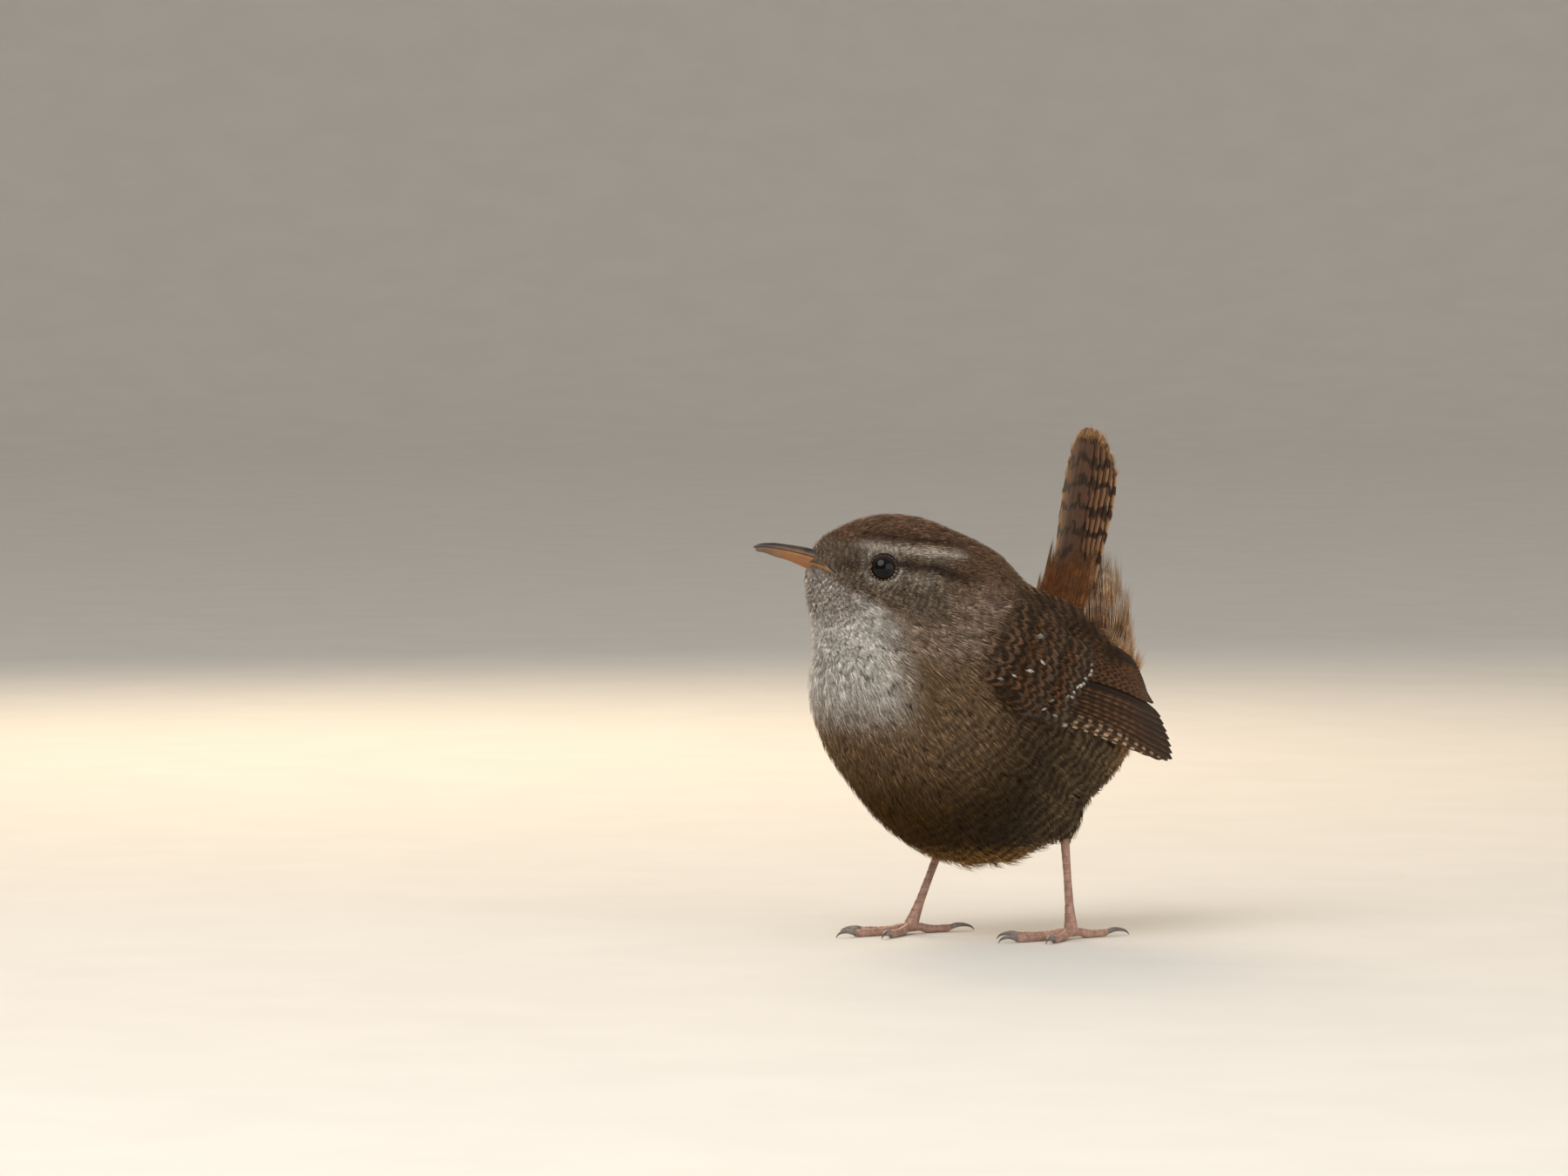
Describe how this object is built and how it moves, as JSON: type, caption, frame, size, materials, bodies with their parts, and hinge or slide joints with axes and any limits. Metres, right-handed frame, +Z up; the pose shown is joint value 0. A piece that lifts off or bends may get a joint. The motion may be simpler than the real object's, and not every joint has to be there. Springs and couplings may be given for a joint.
{
  "type": "wren",
  "caption": "Life-size still model of a wren standing on both feet, tail cocked upright and head turned a little to one side.",
  "frame": {"origin": "on the floor, under the middle of the bird's bounding box", "axes": "+Z up, -X is the way the bird faces, -Y is its left side"},
  "size_m": [0.0712, 0.0442, 0.0844],
  "materials": {
    "plumage": "soft brown body feathers, barred, paler on the throat and breast",
    "flight_feathers": "brown vanes closely barred with buff and black",
    "tail_feathers": "rufous brown vanes with dark bars",
    "bill_horn": "dark grey-brown horn, satin",
    "bill_pale": "orange-brown horn, satin",
    "eye": "glossy black-brown",
    "leg_skin": "scaled pinkish brown skin",
    "claw_horn": "grey-brown horn, satin"
  },
  "bodies": {
    "root": {"head": "plumage", "neck": "plumage", "torso": "plumage", "thigh_left": "plumage", "thigh_right": "plumage", "wing_left": "flight_feathers", "wing_right": "flight_feathers", "tail": "tail_feathers", "bill_upper": "bill_horn", "bill_lower": "bill_pale", "eye_left": "eye", "eye_right": "eye", "leg_left": "leg_skin", "leg_right": "leg_skin", "foot_left": "leg_skin", "foot_right": "leg_skin", "claw_left_inner": "claw_horn", "claw_left_middle": "claw_horn", "claw_left_outer": "claw_horn", "claw_left_hind": "claw_horn", "claw_right_inner": "claw_horn", "claw_right_middle": "claw_horn", "claw_right_outer": "claw_horn", "claw_right_hind": "claw_horn"}
  },
  "joints": []
}
